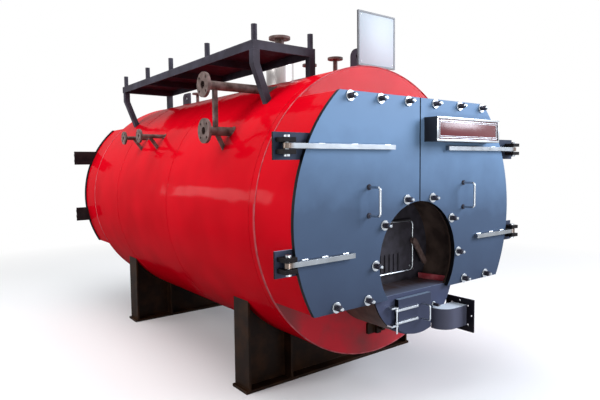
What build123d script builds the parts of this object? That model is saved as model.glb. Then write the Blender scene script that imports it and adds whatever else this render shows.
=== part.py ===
from build123d import *
import os
from math import asin, cos, pi, sin, sqrt

# A horizontal fire-tube steam boiler on two saddles, built round one long drum.
# The drum's axis runs along Y, and the front, with the doors and the furnace, faces -Y.
# The origin is on the floor, at the centre of the front saddle's base plate.
# All sizes are in millimetres. A height or drop "from the axis" is measured from the drum's axis.

# Drum
shell_radius = 1000.0
shell_length = 3180.0
axis_height = 1240.0
lagged_wall = 60.0
tube_plate_thickness = 20.0
contact_gap = 0.3

# Saddles
front_saddle_setback = 500.0
saddle_spacing = 2125.0
base_plate_length = 1660.0
base_plate_width = 190.0
base_plate_thickness = 20.0
saddle_plate = 16.0
saddle_end_offset = 800.0
saddle_rib_offset = 440.0

# Smokeboxes at both ends: the drum's outline with flats at top and bottom
front_box_depth = 371.0
rear_box_depth = 320.0
box_plate = 12.0
flat_height = 747.0
flat_drop = 506.0

# Half doors that close the smokeboxes
door_overhang = 12.0
door_thickness = 25.0
door_standoff = 5.0
door_seam = 10.0
mouth_radius = 369.0
mouth_drop = 278.0

# Strap hinges
hinge_offset = 60.0
strap_height = 28.0
strap_depth = 30.0
upper_strap_height = 430.0
lower_strap_drop = 190.0
upper_strap_inner = 260.0
lower_strap_inner = 595.0
eye_radius = 22.0
pin_radius = 10.0
pin_clearance = 0.5
pin_head_radius = 17.0
pin_head_height = 12.0
clevis_width = 80.0
clevis_plate = 24.0
clevis_nose = 27.0
clevis_gap = 5.0
hinge_plate_height = 145.0
hinge_plate_reach = 115.0
hinge_plate_thickness = 12.0

# D-handles on the half doors
handle_offset = 458.0
handle_top = 196.0
handle_foot_spacing = 168.0
handle_reach = 98.0
handle_rod = 7.5
handle_bend = 20.0

# Sign box on the right half door
sign_left = 40.0
sign_width = 690.0
sign_drop = 122.0
sign_height = 155.0
sign_depth = 100.0
sign_rim = 14.0
sign_recess = 6.0

# Furnace tube and smoke tubes
furnace_radius = 380.0
furnace_wall = 14.0
furnace_drop = 385.0
tube_radius = 44.5
tube_wall = 5.0
tube_pitch = 160.0
tube_row_spacing = 130.0
first_tube_row = 260.0
tube_rows = 4
tube_edge_margin = 90.0

# Furnace casing through the front smokebox
casing_top_radius = 430.0
casing_low_radius = 395.0
casing_wall = 10.0
casing_plate = 12.0
casing_setback = 5.0
sill_drop = 495.0
dead_plate_thickness = 12.0

# Fire door inside the casing
fire_plate_forward = 115.0
fire_plate_thickness = 15.0
fire_door_width = 470.0
fire_door_height = 370.0
fire_door_drop = 245.0
fire_door_thickness = 20.0
fire_door_corner = 30.0
fire_opening_margin = 35.0
fire_rim_width = 10.0
fire_rim_height = 8.0
fire_rib_count = 5
fire_rib_width = 14.0
fire_rib_spacing = 44.0
fire_rib_height = 120.0
fire_hinge_offset = 22.0
fire_pin_radius = 8.0
fire_eye_radius = 14.0
fire_eye_height = 50.0
fire_eye_spacing = 250.0
fire_lug_height = 30.0
latch_drop = 212.0
latch_inset = 12.0
latch_length = 190.0
latch_width = 40.0
latch_thickness = 14.0
latch_slope = 34.0
latch_boss_radius = 22.0

# Ash door below the sill
ash_left = 200.0
ash_right = 118.0
ash_top_drop = 520.0
ash_thickness = 30.0
ash_edge_inset = 10.0
ash_opening_margin = 28.0
ash_strap_drops = (583.0, 663.0)
ash_strap_height = 14.0
ash_strap_depth = 16.0
ash_strap_end = 27.0
ash_hinge_offset = 23.0
ash_pin_radius = 5.5
ash_pin_tail = 45.0
ash_eye_radius = 10.0
ash_lug_height = 10.0
ash_lug_reach = 42.0
ash_handle_offset = 22.0
ash_handle_drop = 580.0
ash_handle_foot_spacing = 98.0
ash_handle_reach = 75.0
ash_handle_rod = 5.0
ash_handle_bend = 14.0

# Air duct at the lower right of the casing
duct_left = 165.0
duct_right = 400.0
duct_depth = 114.0
duct_top_drop = 640.0
duct_height = 140.0
duct_sheet = 6.0
duct_corner = 100.0
duct_flange_size = 225.0
duct_flange_thickness = 10.0
duct_hole_circle = 186.0
duct_hole_radius = 7.0
duct_hole_count = 8
air_hole_radius = 27.0
air_hole_offset = 236.0
air_hole_drop = 655.0

# Flanged nozzles by nominal size. Each row holds the pipe's radius, the bore's radius, the flange's radius,
# the flange's thickness, the diameter of the bolt circle and the radius of a bolt hole.
size_65 = (38.05, 33.0, 92.5, 20.0, 145.0, 9.0)
size_50 = (30.15, 26.0, 82.5, 20.0, 125.0, 9.0)
size_25 = (16.85, 13.5, 57.5, 16.0, 85.0, 7.0)
bolt_count = 4
steam_bolt_count = 8

# Places of the nozzles: stations are measured along the drum from its front end
side_nozzle_reach = 40.0
gauge_station = 543.0
gauge_heights = (561.0, 862.0)
gauge_stay_reach = 50.0
gauge_stay_size = 28.0
feed_stations = (1730.0, 2100.0)
feed_height = 587.0
strut_drop = 95.0
strut_width = 34.0
strut_thickness = 12.0
strut_setback = 88.0
top_nozzle_stations = (410.0, 720.0)
top_nozzle_reach = 130.0
vent_station = 2705.0
vent_reach = 130.0
steam_station = 1130.0
steam_reach = 424.0
collar_radius = 118.0
collar_height = 290.0
collar_corner = 40.0

# Lifting lugs and the board that stands at the front lug
lug_thickness = 20.0
lug_length = 170.0
lug_height = 155.0
lug_hole_radius = 25.0
lug_hole_depth = 55.0
lug_corner = 50.0
front_lug_station = 65.0
rear_lug_station = 2890.0
board_width = 365.0
board_height = 372.0
board_thickness = 15.0
board_left = 104.0
board_clearance = 12.0
board_rim = 12.0
board_recess = 4.0

# Walkway on the drum's left shoulder
walkway_station = 335.0
walkway_length = 2520.0
walkway_outer = 775.0
walkway_inner = 255.0
walkway_height = 90.0
walkway_rail = 54.0
walkway_bar = 8.0
walkway_deck = 6.0
post_radius = 20.0
post_wall = 4.0
post_inset = 5.0
post_height = 104.0
post_stations = (0.0, 660.0, 1330.0, 1860.0, 2450.0)
leg_size = 50.0
leg_stations = (0.0, 2450.0)
leg_straight = 90.0
leg_foot_offset = 640.0

# Handhole in the lower front tube plate
handhole_drop = 825.0
handhole_width = 176.0
handhole_height = 78.0
handhole_corner = 8.0
handhole_thickness = 18.0
bridge_width = 40.0
bridge_thickness = 22.0
stud_radius = 9.0
stud_length = 38.0

# Places that follow from the sizes above
plate_seam = (furnace_radius - furnace_drop + first_tube_row - tube_radius) / 2
shell_front = -front_saddle_setback
shell_rear = shell_front + shell_length
front_rim = shell_front - front_box_depth
rear_rim = shell_rear + rear_box_depth
door_back = front_rim - door_standoff
door_front = door_back - door_thickness
rear_door_front = rear_rim + door_standoff
rear_door_back = rear_door_front + door_thickness
hinge_x = shell_radius + hinge_offset
casing_front = front_rim + casing_setback
casing_back_of_plate = casing_front + casing_plate
fire_plate_front = shell_front - fire_plate_forward
fire_door_back = fire_plate_front - door_standoff
fire_door_front = fire_door_back - fire_door_thickness
ash_back = casing_front - door_standoff
ash_front = ash_back - ash_thickness
drum_top = axis_height + shell_radius


def front_plane(y):
    """A plane across the drum at y: its own x is X, its own y is Z and it faces -Y."""
    return Plane(origin=(0, y, 0), x_dir=(1, 0, 0), z_dir=(0, -1, 0))


def across(outline, y_front, y_back):
    """A plate across the drum, from an outline in X and Z, between two places along Y."""
    return extrude(front_plane(y_back) * outline, y_back - y_front)


def block(x, y, z):
    """A box from (low, high) pairs."""
    centre = Pos((x[0] + x[1]) / 2, (y[0] + y[1]) / 2, (z[0] + z[1]) / 2)
    return centre * Box(x[1] - x[0], y[1] - y[0], z[1] - z[0])


def bar_x(radius, x, y, z):
    return Pos((x[0] + x[1]) / 2, y, z) * Rot(0, 90, 0) * Cylinder(radius, x[1] - x[0])


def bar_y(radius, x, y, z):
    return Pos(x, (y[0] + y[1]) / 2, z) * Rot(90, 0, 0) * Cylinder(radius, y[1] - y[0])


def bar_z(radius, x, y, z):
    return Pos(x, y, (z[0] + z[1]) / 2) * Cylinder(radius, z[1] - z[0])


def disc(radius, drop=0.0):
    """A round outline, centred a drop below the drum's axis."""
    return Pos(0, axis_height - drop) * Circle(radius)


def window(x, z):
    """A rectangular outline from (low, high) pairs."""
    return Pos((x[0] + x[1]) / 2, (z[0] + z[1]) / 2) * Rectangle(x[1] - x[0], z[1] - z[0])


def flattened_disc(radius):
    """The smokebox outline: a disc cut flat at the top and at the bottom."""
    flats = (axis_height - flat_drop, axis_height + flat_height)
    return disc(radius) & window((-radius, radius), flats)


def casing_outline(inset=0.0):
    """The furnace casing's outline: the round mouth and the lower ash pit, joined by their tangents."""
    upper = casing_top_radius - inset
    lower = casing_low_radius - inset
    tilt = asin((upper - lower) / (furnace_drop - mouth_drop))
    upper_z = axis_height - mouth_drop
    lower_z = axis_height - furnace_drop
    sides = Polygon(
        (upper * cos(tilt), upper_z + upper * sin(tilt)),
        (-upper * cos(tilt), upper_z + upper * sin(tilt)),
        (-lower * cos(tilt), lower_z + lower * sin(tilt)),
        (lower * cos(tilt), lower_z + lower * sin(tilt)),
        align=None,
    )
    return disc(upper, mouth_drop) + disc(lower, furnace_drop) + sides


drum_envelope = bar_y(shell_radius + contact_gap, 0, (shell_front, shell_rear), axis_height)
casing_envelope = across(casing_outline(-contact_gap), front_rim, shell_front)


def shell_barrel():
    ring = disc(shell_radius) - disc(shell_radius - lagged_wall)
    return across(ring, shell_front + tube_plate_thickness, shell_rear - tube_plate_thickness)


def tube_places():
    """The smoke tubes' centres: staggered rows above the furnace."""
    places = []
    reach = shell_radius - tube_edge_margin
    for row in range(tube_rows):
        height = first_tube_row + row * tube_row_spacing
        half_chord = sqrt(reach**2 - height**2) - tube_radius
        shift = tube_pitch / 2 * (row % 2)
        count = int((half_chord - shift) // tube_pitch)
        sides = [shift + tube_pitch * step for step in range(count + 1)]
        columns = sorted({x for side in sides for x in (side, -side)})
        places += [(x, axis_height + height) for x in columns]
    return places


def front_tube_plate():
    """The upper part of the drum's front end, drilled for the smoke tubes."""
    tubes = Sketch() + [Pos(*place) * Circle(tube_radius + contact_gap) for place in tube_places()]
    upper = window((-shell_radius, shell_radius), (axis_height + plate_seam, axis_height + shell_radius))
    return across((disc(shell_radius) & upper) - tubes, shell_front, shell_front + tube_plate_thickness)


def front_lower_plate():
    """The lower part of the drum's front end, cut out for the furnace tube."""
    furnace_hole = disc(furnace_radius + contact_gap, furnace_drop)
    lower = window((-shell_radius, shell_radius), (axis_height - shell_radius, axis_height + plate_seam))
    outline = (disc(shell_radius) & lower) - furnace_hole
    return across(outline, shell_front, shell_front + tube_plate_thickness)


def rear_tube_plate():
    return across(disc(shell_radius), shell_rear - tube_plate_thickness, shell_rear)


def smoke_tubes():
    ring = Circle(tube_radius) - Circle(tube_radius - tube_wall)
    back = shell_rear - tube_plate_thickness
    tubes = [across(Pos(*place) * ring, shell_front, back) for place in tube_places()]
    return Compound(children=tubes)


def furnace_tube():
    ring = disc(furnace_radius, furnace_drop) - disc(furnace_radius - furnace_wall, furnace_drop)
    return across(ring, shell_front, shell_rear - tube_plate_thickness)


def box_side(side, y_front, y_back):
    """One curved side of a smokebox; side is -1 for left and 1 for right."""
    ring = disc(shell_radius) - disc(shell_radius - box_plate)
    half = (0, shell_radius) if side > 0 else (-shell_radius, 0)
    heights = (axis_height - flat_drop + box_plate, axis_height + flat_height - box_plate)
    return across(ring & window(half, heights), y_front, y_back)


def box_top(y_front, y_back):
    heights = (axis_height + flat_height - box_plate, axis_height + flat_height)
    return across(disc(shell_radius) & window((-shell_radius, shell_radius), heights), y_front, y_back)


def box_floor(y_front, y_back):
    heights = (axis_height - flat_drop, axis_height - flat_drop + box_plate)
    return across(disc(shell_radius) & window((-shell_radius, shell_radius), heights), y_front, y_back)


def half_door(side, y_front, y_back, with_mouth):
    reach = shell_radius + door_overhang
    outline = flattened_disc(reach)
    if with_mouth:
        outline -= disc(mouth_radius, mouth_drop)
    edge = door_seam / 2
    half = (edge, reach) if side > 0 else (-reach, -edge)
    heights = (axis_height - reach, axis_height + reach)
    return across(outline & window(half, heights), y_front, y_back)


def strap_levels():
    """Height of each strap's middle, with where its inner end lies."""
    upper = (axis_height + upper_strap_height, upper_strap_inner)
    lower = (axis_height - lower_strap_drop, lower_strap_inner)
    return [upper, lower]


def door_straps(side, face, outward):
    """Both strap bars of a half door; outward is -1 at the front and 1 at the rear."""
    straps = []
    pin_y = face + outward * strap_depth / 2
    for level, inner in strap_levels():
        heights = (level - strap_height / 2, level + strap_height / 2)
        reach = sorted((side * inner, side * hinge_x))
        depth = sorted((face, face + outward * strap_depth))
        bar = block(reach, depth, heights) + bar_z(eye_radius, side * hinge_x, pin_y, heights)
        straps.append(bar - bar_z(pin_radius + pin_clearance, side * hinge_x, pin_y, heights))
    return Compound(children=straps)


def hinge_places():
    """Side and height of the four hinges at one end of the drum."""
    return [(side, level) for side in (-1, 1) for level, inner in strap_levels()]


def hinge_pin_y(rim, outward):
    return rim + outward * (door_standoff + door_thickness + strap_depth / 2)


def clevis_ends():
    """Where a clevis plate starts and ends, measured up or down from the middle of the strap."""
    near = strap_height / 2 + clevis_gap
    return near, near + clevis_plate


def hinge_plates(rim, outward):
    """Flat plates on the smokebox's side, level with its rim."""
    y = sorted((rim, rim - outward * hinge_plate_thickness))
    box_body = bar_y(shell_radius + contact_gap, 0, y, axis_height)
    plates = []
    for side, level in hinge_places():
        x = sorted((0, side * (shell_radius + hinge_plate_reach)))
        z = (level - hinge_plate_height / 2, level + hinge_plate_height / 2)
        plates.append(block(x, y, z) - box_body)
    return Compound(children=plates)


def hinge_brackets(rim, outward):
    """Two thick clevis plates on each hinge plate, with a hole for the pin."""
    pin_y = hinge_pin_y(rim, outward)
    near, far = clevis_ends()
    half = clevis_width / 2
    y = sorted((rim, pin_y + outward * clevis_nose))
    brackets = []
    for side, level in hinge_places():
        x = side * hinge_x
        for sign in (-1, 1):
            heights = sorted((level + sign * near, level + sign * far))
            clevis = block((x - half, x + half), y, heights)
            brackets.append(clevis - bar_z(pin_radius + contact_gap, x, pin_y, heights))
    return Compound(children=brackets)


def hinge_pins(rim, outward):
    """The hinge pins, with a head above and below the clevis plates."""
    pin_y = hinge_pin_y(rim, outward)
    far = clevis_ends()[1]
    pins = []
    for side, level in hinge_places():
        x = side * hinge_x
        pin = bar_z(pin_radius, x, pin_y, (level - far, level + far))
        for sign in (-1, 1):
            head = sorted((level + sign * far, level + sign * (far + pin_head_height)))
            pin += bar_z(pin_head_radius, x, pin_y, head)
        pins.append(pin)
    return Compound(children=pins)


def bow_handle(x, face, top, spacing, reach, rod, bend):
    """A bent round-bar handle with both feet on a face that looks towards -Y."""
    path = FilletPolyline(
        (x, face, top),
        (x, face - reach + rod, top),
        (x, face - reach + rod, top - spacing),
        (x, face, top - spacing),
        radius=bend,
    )
    section = front_plane(face) * Pos(x, top) * Circle(rod)
    return sweep(section, path=path)


def door_handle(side):
    return bow_handle(
        side * handle_offset,
        door_front,
        axis_height + handle_top,
        handle_foot_spacing,
        handle_reach,
        handle_rod,
        handle_bend,
    )


def sign_box():
    """A shallow box near the top of the right door, with a sunk panel in its face."""
    top = axis_height + flat_height - sign_drop
    x = (sign_left, sign_left + sign_width)
    z = (top - sign_height, top)
    face = door_front - sign_depth
    body = block(x, (face, door_front), z)
    panel_x = (x[0] + sign_rim, x[1] - sign_rim)
    panel_z = (z[0] + sign_rim, z[1] - sign_rim)
    return body - block(panel_x, (face, face + sign_recess), panel_z)


def furnace_casing():
    return across(casing_outline() - casing_outline(casing_wall), casing_back_of_plate, shell_front)


def ash_span():
    """Left, right, top and bottom of the ash door, before its lower edge is rounded."""
    bottom = axis_height - furnace_drop - casing_low_radius
    return (-ash_left, ash_right), (bottom, axis_height - ash_top_drop)


def ash_opening():
    x, z = ash_span()
    inside = disc(casing_low_radius - ash_edge_inset - ash_opening_margin, furnace_drop)
    margin = ash_opening_margin
    frame = window((x[0] + margin, x[1] - margin), (z[0], z[1] - margin))
    return frame & inside


def casing_front_plate():
    above_sill = window((-mouth_radius, mouth_radius), (axis_height - sill_drop, axis_height + shell_radius))
    mouth = disc(mouth_radius, mouth_drop) & above_sill
    air_hole = Pos(air_hole_offset, axis_height - air_hole_drop) * Circle(air_hole_radius)
    return across(casing_outline() - mouth - ash_opening() - air_hole, casing_front, casing_back_of_plate)


def dead_plate():
    inside = across(casing_outline(casing_wall + contact_gap), casing_back_of_plate, fire_plate_front)
    heights = (axis_height - sill_drop - dead_plate_thickness, axis_height - sill_drop)
    width = (-casing_top_radius, casing_top_radius)
    return block(width, (casing_back_of_plate, fire_plate_front), heights) & inside


def fire_span():
    half = fire_door_width / 2
    middle = axis_height - fire_door_drop
    return (-half, half), (middle - fire_door_height / 2, middle + fire_door_height / 2)


def fire_plate():
    x, z = fire_span()
    margin = fire_opening_margin
    opening = window((x[0] + margin, x[1] - margin), (z[0] + margin, z[1] - margin))
    air_way = ash_opening()
    outline = casing_outline(casing_wall + contact_gap) - opening - air_way
    return across(outline, fire_plate_front, fire_plate_front + fire_plate_thickness)


def fire_hinge_axis():
    return -fire_door_width / 2 - fire_hinge_offset, (fire_door_back + fire_door_front) / 2


def fire_eye_levels():
    middle = axis_height - fire_door_drop
    return [middle - fire_eye_spacing / 2, middle + fire_eye_spacing / 2]


def fire_door():
    x, z = fire_span()
    middle = Pos(0, (z[0] + z[1]) / 2)
    rounded = middle * RectangleRounded(fire_door_width, fire_door_height, fire_door_corner)
    inner = middle * RectangleRounded(
        fire_door_width - 2 * fire_rim_width,
        fire_door_height - 2 * fire_rim_width,
        fire_door_corner - fire_rim_width,
    )
    door = across(rounded, fire_door_front, fire_door_back)
    door += across(rounded - inner, fire_door_front - fire_rim_height, fire_door_front)
    rib_y = (fire_door_front - fire_rim_height, fire_door_front)
    rib_z = (z[0] + 2 * fire_rim_width, z[0] + 2 * fire_rim_width + fire_rib_height)
    for step in range(fire_rib_count):
        place = (step - (fire_rib_count - 1) / 2) * fire_rib_spacing
        door += block((place - fire_rib_width / 2, place + fire_rib_width / 2), rib_y, rib_z)
    pin_x, pin_y = fire_hinge_axis()
    for level in fire_eye_levels():
        heights = (level - fire_eye_height / 2, level + fire_eye_height / 2)
        door += block((pin_x, x[0] + fire_rim_width), (fire_door_front, fire_door_back), heights)
        door += bar_z(fire_eye_radius, pin_x, pin_y, heights)
        door -= bar_z(fire_pin_radius + pin_clearance, pin_x, pin_y, heights)
    return door


def fire_latch():
    """The sloping latch lever with its boss on the rim at the fire door's free edge."""
    pivot_x = fire_door_width / 2 - latch_inset
    pivot_z = axis_height - latch_drop
    face = fire_door_front - fire_rim_height
    boss = bar_y(latch_boss_radius, pivot_x, (face - latch_thickness, face), pivot_z)
    lever = Pos(0, -latch_length / 2) * SlotOverall(latch_length + latch_width, latch_width, rotation=90)
    lever = Pos(pivot_x, pivot_z) * Rot(0, 0, latch_slope) * lever
    return boss + across(lever, face - 2 * latch_thickness, face - latch_thickness)


def fire_door_hinge():
    """Lugs on the fire plate with the pin that the fire door turns on."""
    pin_x, pin_y = fire_hinge_axis()
    levels = fire_eye_levels()
    reach = fire_eye_height / 2 + clevis_gap
    ends = (levels[0] - reach - fire_lug_height, levels[1] + reach + fire_lug_height)
    hinge = bar_z(fire_pin_radius, pin_x, pin_y, ends)
    for low in (ends[0], ends[1] - fire_lug_height):
        heights = (low, low + fire_lug_height)
        lug_x = (pin_x - fire_eye_radius, pin_x + fire_eye_radius)
        hinge += block(lug_x, (pin_y, fire_plate_front), heights)
        hinge += bar_z(fire_eye_radius, pin_x, pin_y, heights)
    return hinge


def ash_hinge_axis():
    return -ash_left - ash_hinge_offset, ash_front - ash_strap_depth / 2


def ash_door():
    x, z = ash_span()
    rounded = disc(casing_low_radius - ash_edge_inset, furnace_drop)
    return across(window(x, z) & rounded, ash_front, ash_back)


def ash_straps():
    straps = []
    pin_x, pin_y = ash_hinge_axis()
    for drop in ash_strap_drops:
        level = axis_height - drop
        heights = (level - ash_strap_height / 2, level + ash_strap_height / 2)
        bar = block((pin_x, -ash_strap_end), (ash_front - ash_strap_depth, ash_front), heights)
        bar += bar_z(ash_eye_radius, pin_x, pin_y, heights)
        straps.append(bar - bar_z(ash_pin_radius + pin_clearance, pin_x, pin_y, heights))
    return Compound(children=straps)


def ash_hinge():
    """Lugs on the casing's front plate with the rod that the ash door turns on."""
    pin_x, pin_y = ash_hinge_axis()
    reach = ash_strap_height / 2 + clevis_gap
    top = axis_height - ash_strap_drops[0] + reach + ash_lug_height
    bottom = axis_height - ash_strap_drops[1] - reach - ash_lug_height
    hinge = bar_z(ash_pin_radius, pin_x, pin_y, (bottom - ash_pin_tail, top))
    for low in (bottom, top - ash_lug_height):
        heights = (low, low + ash_lug_height)
        hinge += bar_z(ash_eye_radius, pin_x, pin_y, heights)
        lug_x = (pin_x - ash_lug_reach, pin_x + ash_eye_radius)
        hinge += block(lug_x, (pin_y, casing_front), heights)
    return hinge


def ash_handle():
    top = axis_height - ash_handle_drop
    return bow_handle(
        ash_handle_offset,
        ash_front,
        top,
        ash_handle_foot_spacing,
        ash_handle_reach,
        ash_handle_rod,
        ash_handle_bend,
    )


def air_duct():
    """A sheet-metal box that turns the air from the flange, which faces +X, into the casing."""
    y = (casing_front - duct_depth, casing_front)
    z = (axis_height - duct_top_drop - duct_height, axis_height - duct_top_drop)
    middle_y = (y[0] + y[1]) / 2
    middle_z = (z[0] + z[1]) / 2
    body = block((duct_left, duct_right), y, z)
    front_corner = body.edges().filter_by(Axis.Z).sort_by(lambda edge: edge.center().X + edge.center().Y)[0]
    body = fillet(front_corner, duct_corner)
    sheet = duct_sheet
    hollow = block(
        (duct_left + sheet, duct_right + duct_flange_thickness),
        (y[0] + sheet, y[1] - sheet),
        (z[0] + sheet, z[1] - sheet),
    )
    upright = hollow.edges().filter_by(Axis.Z)
    inner_corner = upright.sort_by(lambda edge: edge.center().X + edge.center().Y)[0]
    hollow = fillet(inner_corner, duct_corner - sheet)
    half = duct_flange_size / 2
    flange = block(
        (duct_right, duct_right + duct_flange_thickness),
        (middle_y - half, middle_y + half),
        (middle_z - half, middle_z + half),
    )
    duct = body + flange - hollow
    ends = (duct_right, duct_right + duct_flange_thickness)
    for step in range(duct_hole_count):
        angle = 2 * pi * step / duct_hole_count
        hole_y = middle_y + duct_hole_circle / 2 * cos(angle)
        hole_z = middle_z + duct_hole_circle / 2 * sin(angle)
        duct -= bar_x(duct_hole_radius, ends, hole_y, hole_z)
    back_sheet = (casing_front - duct_sheet, casing_front)
    return duct - bar_y(air_hole_radius, air_hole_offset, back_sheet, axis_height - air_hole_drop)


def flanged_pipe(size, length, count=bolt_count):
    """A pipe along Z with its flange face at the origin, facing +Z."""
    pipe, bore, flange, thickness, circle, hole = size
    nozzle = Pos(0, 0, -length / 2) * Cylinder(pipe, length)
    nozzle += Pos(0, 0, -thickness / 2) * Cylinder(flange, thickness)
    nozzle -= Pos(0, 0, -length / 2) * Cylinder(bore, length)
    for place in PolarLocations(circle / 2, count, start_angle=180 / count):
        nozzle -= place * Pos(0, 0, -thickness / 2) * Cylinder(hole, thickness)
    return nozzle


def side_nozzle(size, station, height):
    """A nozzle on the left of the drum, with its pipe level and square to the axis."""
    reach = shell_radius + side_nozzle_reach
    place = Pos(-reach, shell_front + station, axis_height + height) * Rot(0, -90, 0)
    return place * flanged_pipe(size, reach) - drum_envelope


def strut(size, station, height):
    """A sloping flat bar from the underside of a side nozzle's pipe down to the drum."""
    pipe, bore = size[:2]
    reach = shell_radius + side_nozzle_reach - strut_setback
    top = axis_height + height - (pipe + bore) / 2
    low = height - pipe - strut_drop
    foot = sqrt(shell_radius**2 - low**2)
    foot_z = axis_height + low
    outline = Polygon(
        (-reach, top),
        (-foot, foot_z),
        (-foot + strut_width, foot_z),
        (-reach + strut_width, top),
        align=None,
    )
    middle = shell_front + station
    return across(outline, middle - strut_thickness / 2, middle + strut_thickness / 2) - drum_envelope


def gauge_nozzles():
    """Two nozzles for the water gauge, held apart by a square bar, with a strut under the lower one."""
    pipe, bore = size_50[:2]
    low, high = gauge_heights
    x = -shell_radius + gauge_stay_reach
    y = shell_front + gauge_station
    half = gauge_stay_size / 2
    weld = (pipe + bore) / 2
    bar_ends = (axis_height + low + weld, axis_height + high - weld)
    bar = block((x - half, x + half), (y - half, y + half), bar_ends)
    lower = side_nozzle(size_50, gauge_station, low) + strut(size_50, gauge_station, low)
    return lower + side_nozzle(size_50, gauge_station, high) + bar


def feed_nozzles():
    """Two small nozzles further back, each with a strut under its pipe."""
    nozzles = []
    for station in feed_stations:
        pipe = side_nozzle(size_25, station, feed_height)
        nozzles.append(pipe + strut(size_25, station, feed_height))
    return Compound(children=nozzles)


def top_nozzle(size, station, reach):
    place = Pos(0, shell_front + station, drum_top + reach)
    return place * flanged_pipe(size, reach + shell_radius / 2) - drum_envelope


def safety_nozzles():
    nozzles = [top_nozzle(size_25, station, top_nozzle_reach) for station in top_nozzle_stations]
    return Compound(children=nozzles)


def vent_nozzle():
    return top_nozzle(size_25, vent_station, vent_reach)


def steam_place():
    return Pos(0, shell_front + steam_station, drum_top + steam_reach)


def steam_outlet():
    """The flanged neck of the steam outlet, down to the drum."""
    neck = flanged_pipe(size_65, steam_reach + shell_radius / 4, steam_bolt_count)
    return steam_place() * neck - drum_envelope


def steam_collar():
    """The clad and lagged collar round the steam outlet's neck, rounded at its top."""
    skirt = shell_radius / 4
    height = collar_height + skirt
    collar = Pos(0, 0, collar_height - steam_reach - height / 2) * Cylinder(collar_radius, height)
    top_edge = collar.edges().filter_by(GeomType.CIRCLE).sort_by(Axis.Z)[-1]
    collar = fillet(top_edge, collar_corner)
    length = steam_reach + skirt
    collar -= Pos(0, 0, -length / 2) * Cylinder(size_65[0], length)
    return steam_place() * collar - drum_envelope


def lifting_lug(station):
    """A plate on the drum's crown, along the axis, with a shackle hole."""
    y = (shell_front + station, shell_front + station + lug_length)
    z = (drum_top - shell_radius / 4, drum_top + lug_height)
    half = lug_thickness / 2
    plate = block((-half, half), y, z)
    rear_top = plate.edges().filter_by(Axis.X).sort_by(lambda edge: edge.center().Y + edge.center().Z)[-1]
    plate = fillet(rear_top, lug_corner)
    plate -= bar_x(lug_hole_radius, (-half, half), (y[0] + y[1]) / 2, z[1] - lug_hole_depth)
    return plate - drum_envelope


def lifting_lugs():
    return Compound(children=[lifting_lug(front_lug_station), lifting_lug(rear_lug_station)])


def data_board():
    """A framed flat board fixed to the front edge of the front lug."""
    x = (-board_left, board_width - board_left)
    back = shell_front + front_lug_station
    y = (back - board_thickness, back)
    z = (drum_top + board_clearance, drum_top + board_clearance + board_height)
    recess_x = (x[0] + board_rim, x[1] - board_rim)
    recess_z = (z[0] + board_rim, z[1] - board_rim)
    return block(x, y, z) - block(recess_x, (y[0], y[0] + board_recess), recess_z)


def walkway_span():
    front = shell_front + walkway_station
    x = (-walkway_outer, -walkway_inner)
    y = (front, front + walkway_length)
    z = (drum_top + walkway_height, drum_top + walkway_height + walkway_rail)
    return x, y, z


def walkway_frame():
    """Flat bars on edge: two side rails, both ends and a cross bar under each pair of posts."""
    x, y, z = walkway_span()
    bar = walkway_bar
    frame = block((x[0], x[0] + bar), y, z) + block((x[1] - bar, x[1]), y, z)
    starts = [y[0] + station for station in post_stations] + [y[1] - bar]
    for start in starts:
        frame += block((x[0] + bar, x[1] - bar), (start, start + bar), z)
    return frame


def walkway_deck_plate():
    x, y, z = walkway_span()
    return block(x, y, (z[1], z[1] + walkway_deck))


def walkway_posts():
    """Short round tubes along both sides of the deck, open at the top, that take a handrail."""
    x, y, z = walkway_span()
    foot = z[1] + walkway_deck
    side = post_inset + post_radius
    heights = (foot, foot + post_height)
    posts = []
    for station in post_stations:
        post_y = y[0] + station + side
        for post_x in (x[0] + side, x[1] - side):
            tube = bar_z(post_radius, post_x, post_y, heights)
            posts.append(tube - bar_z(post_radius - post_wall, post_x, post_y, heights))
    return Compound(children=posts)


def walkway_legs():
    """Bent legs outside and straight legs inside, with their feet on the drum."""
    x, y, z = walkway_span()
    legs = []
    outer = x[0]
    inner = x[1] - leg_size
    knee = z[0] - leg_straight
    sunk = axis_height + sqrt(shell_radius**2 - leg_foot_offset**2) - leg_size
    bent = Polygon(
        (outer, z[0]),
        (outer, knee),
        (-leg_foot_offset - leg_size / 2, sunk),
        (-leg_foot_offset + leg_size / 2, sunk),
        (outer + leg_size, knee),
        (outer + leg_size, z[0]),
        align=None,
    )
    straight = window((inner, inner + leg_size), (drum_top - shell_radius / 4, z[0]))
    for station in leg_stations:
        leg_y = (y[0] + station, y[0] + station + leg_size)
        legs.append(across(bent, *leg_y) - drum_envelope)
        legs.append(across(straight, *leg_y) - drum_envelope)
    return Compound(children=legs)


def handhole_cover():
    """An oblong cover with its bridge and stud, low on the front tube plate."""
    level = axis_height - handhole_drop
    oblong = Pos(0, level) * RectangleRounded(handhole_width, handhole_height, handhole_corner)
    cover = across(oblong, shell_front - handhole_thickness, shell_front)
    bridge_face = shell_front - handhole_thickness - bridge_thickness
    half = bridge_width / 2
    bridge_z = (level - handhole_height / 2, level + handhole_height / 2)
    cover += block((-half, half), (bridge_face, shell_front), bridge_z)
    return cover + bar_y(stud_radius, 0, (bridge_face - stud_length, bridge_face), level)


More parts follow.
